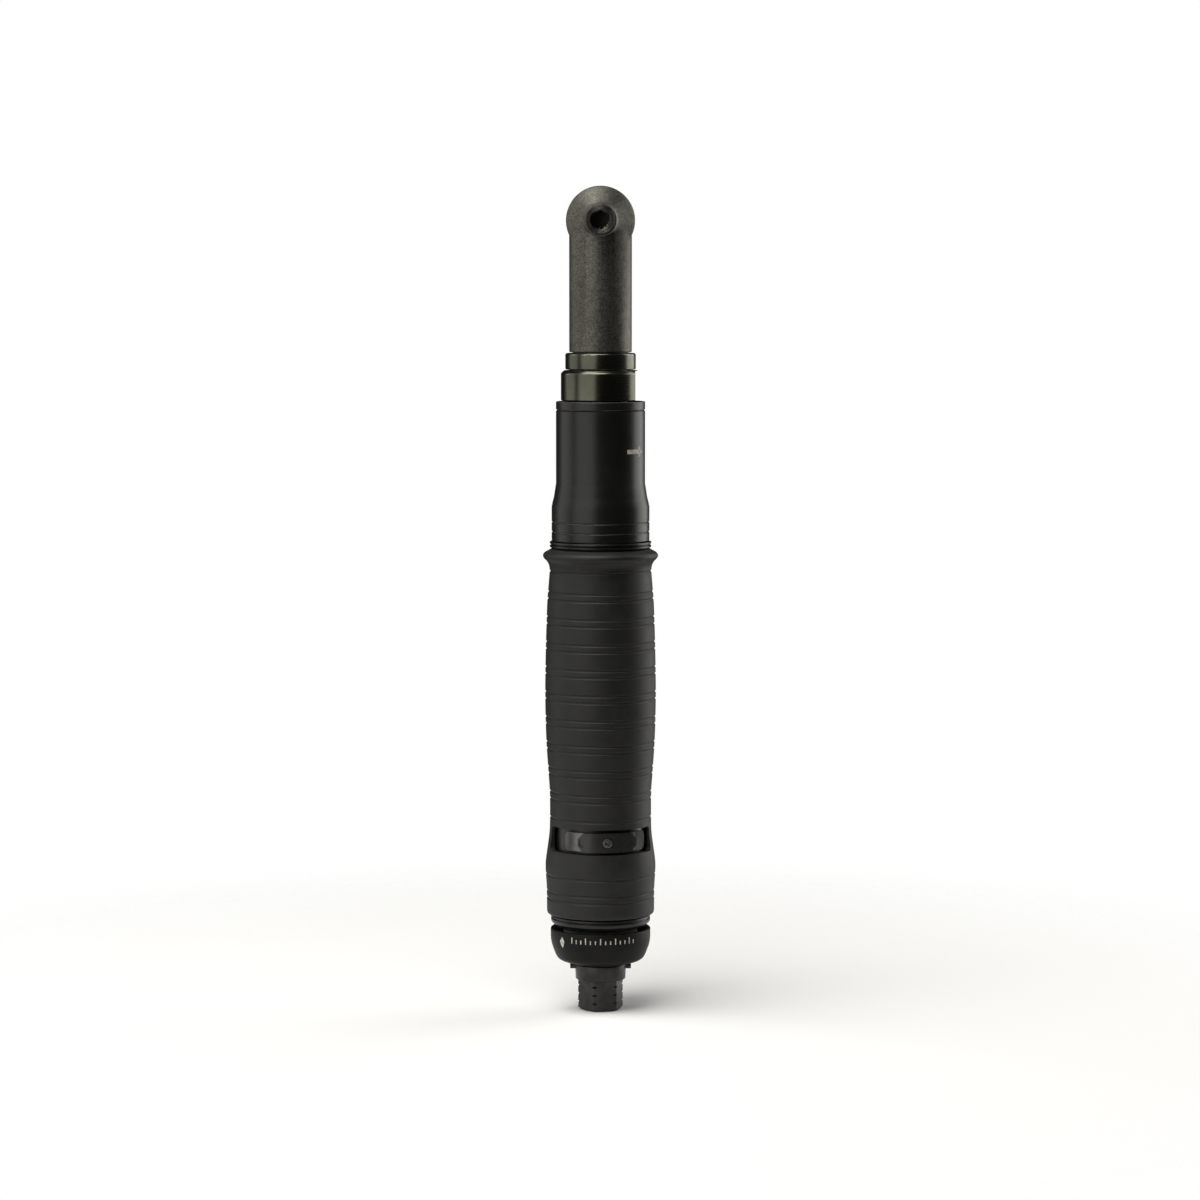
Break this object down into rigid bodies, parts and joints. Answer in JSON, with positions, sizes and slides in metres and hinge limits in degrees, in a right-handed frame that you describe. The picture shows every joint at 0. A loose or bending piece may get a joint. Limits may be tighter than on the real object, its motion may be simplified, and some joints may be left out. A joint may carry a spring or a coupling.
{
  "type": "angle air screwdriver",
  "caption": "Straight pneumatic screwdriver with a right-angle head, rubber grip, reversing ring, start lever and shut-off clutch.",
  "frame": {"origin": "centre of the air inlet's end face, on the tool's long axis", "axes": "+Z along the tool's long axis from the air inlet to the head, -Y the way the output nose points, +X to the right when facing the nose"},
  "size_m": [0.0432, 0.0565, 0.3095],
  "materials": {
    "black_rubber": "moulded black rubber, matte",
    "black_anodised": "black anodised aluminium, satin",
    "black_oxide": "turned steel, oiled black oxide, glossy",
    "phosphate": "forged steel, dark grey manganese phosphate, grainy",
    "dark_steel": "blackened turned steel",
    "bright_steel": "ground bearing steel",
    "black_plastic": "glass-filled nylon, black, matte",
    "bronze": "sintered bronze",
    "felt": "pressed felt",
    "red_fibre": "fibre laminate vane"
  },
  "bodies": {
    "tool_body": {"inlet_bushing": "dark_steel", "inlet_screen": "bronze", "bail_pin_left": "bright_steel", "bail_pin_right": "bright_steel", "exhaust_cap": "black_plastic", "silencer": "felt", "end_ring": "dark_steel", "backhead": "dark_steel", "throttle_seat": "black_rubber", "throttle_spring": "bright_steel", "lever_pin": "bright_steel", "motor_housing": "black_anodised", "grip_sleeve": "black_rubber", "rear_end_plate": "bright_steel", "rear_rotor_bearing": "bright_steel", "motor_cylinder": "dark_steel", "front_end_plate": "bright_steel", "front_rotor_bearing": "bright_steel", "ring_gear": "dark_steel", "carrier_bearing": "bright_steel", "sleeve_ring": "black_oxide", "clutch_housing": "dark_steel", "coupling_nut": "black_oxide", "lock_ring": "black_oxide", "shaft_bearing": "bright_steel", "head_housing": "phosphate", "front_spindle_bearing": "bright_steel", "rear_spindle_bearing": "bright_steel", "head_cap": "dark_steel"},
    "rotor_unit": {"rotor": "bright_steel", "sun_pinion": "bright_steel", "vane_1": "red_fibre", "vane_2": "red_fibre", "vane_3": "red_fibre", "vane_4": "red_fibre"},
    "carrier_unit": {"planet_carrier": "bright_steel", "clutch_driver": "bright_steel", "clutch_ball_1": "bright_steel", "clutch_ball_2": "bright_steel", "clutch_ball_3": "bright_steel"},
    "planet_1": {"planet_gear_1": "bright_steel"},
    "planet_2": {"planet_gear_2": "bright_steel"},
    "planet_3": {"planet_gear_3": "bright_steel"},
    "clutch_output": {"clutch_cam": "dark_steel", "clutch_spring": "bright_steel", "clutch_adjuster": "bright_steel", "clutch_spindle": "bright_steel", "drive_shaft": "bright_steel", "drive_pinion": "bright_steel"},
    "output": {"output_spindle": "dark_steel", "spindle_gear": "bright_steel", "bit_retainer": "bright_steel"},
    "cover": {"clutch_cover": "black_anodised"},
    "reverser": {"reverse_ring": "dark_steel", "reverse_slider": "black_plastic", "reverse_screw": "bright_steel", "reverse_valve": "dark_steel"},
    "lever": {"start_lever": "dark_steel"},
    "throttle_push_pin": {"throttle_pin": "bright_steel"},
    "tilt_valve": {"throttle_valve": "bright_steel"}
  },
  "joints": [
    {"name": "rotor_spin", "type": "hinge", "parent": "tool_body", "child": "rotor_unit", "pos_m": [0, 0, 0.0757], "axis": [0, 0, 1], "continuous": true},
    {"name": "carrier_spin", "type": "hinge", "parent": "tool_body", "child": "carrier_unit", "pos_m": [0, 0, 0.1428], "axis": [0, 0, 1], "continuous": true},
    {"name": "planet_1_spin", "type": "hinge", "parent": "carrier_unit", "child": "planet_1", "pos_m": [0.0078, 0, 0.1325], "axis": [0, 0, 1], "continuous": true},
    {"name": "planet_2_spin", "type": "hinge", "parent": "carrier_unit", "child": "planet_2", "pos_m": [-0.0039, 0.00675, 0.1325], "axis": [0, 0, 1], "continuous": true},
    {"name": "planet_3_spin", "type": "hinge", "parent": "carrier_unit", "child": "planet_3", "pos_m": [-0.0039, -0.00675, 0.1325], "axis": [0, 0, 1], "continuous": true},
    {"name": "clutch_output_spin", "type": "hinge", "parent": "tool_body", "child": "clutch_output", "pos_m": [0, 0, 0.1691], "axis": [0, 0, 1], "continuous": true},
    {"name": "spindle_spin", "type": "hinge", "parent": "tool_body", "child": "output", "pos_m": [0, 0, 0.2967], "axis": [0, 1, 0], "continuous": true},
    {"name": "clutch_cover_turn", "type": "hinge", "parent": "tool_body", "child": "cover", "pos_m": [0, 0, 0.1776], "axis": [0, 0, 1], "range_deg": [-90, 0]},
    {"name": "reverse_turn", "type": "hinge", "parent": "tool_body", "child": "reverser", "pos_m": [0, 0, 0.066], "axis": [0, 0, 1], "range_deg": [-13, 0]},
    {"name": "lever_press", "type": "hinge", "parent": "tool_body", "child": "lever", "pos_m": [0, 0.0229, 0.0402], "axis": [1, 0, 0], "range_deg": [0, 6], "stiffness_Nm_per_rad": 0.5, "springref_deg": -3.44},
    {"name": "throttle_pin_slide", "type": "slide", "parent": "tool_body", "child": "throttle_push_pin", "axis": [0, -1, 0], "range_m": [0, 0.0015]},
    {"name": "valve_tilt", "type": "hinge", "parent": "tool_body", "child": "tilt_valve", "pos_m": [0, 0.0034, 0.0471], "axis": [1, 0, 0], "range_deg": [0, 12], "deforming": ["throttle_spring"]}
  ],
  "couplings": [
    {"joint": "carrier_spin", "follows": "rotor_spin", "ratio": 0.25},
    {"joint": "planet_1_spin", "follows": "rotor_spin", "ratio": -0.75},
    {"joint": "planet_2_spin", "follows": "rotor_spin", "ratio": -0.75},
    {"joint": "planet_3_spin", "follows": "rotor_spin", "ratio": -0.75},
    {"joint": "clutch_output_spin", "follows": "rotor_spin", "ratio": 0.25},
    {"joint": "spindle_spin", "follows": "rotor_spin", "ratio": 0.25},
    {"joint": "throttle_pin_slide", "follows": "lever_press", "m_per_rad": 0.0138},
    {"joint": "valve_tilt", "follows": "lever_press", "ratio": 1.9}
  ]
}
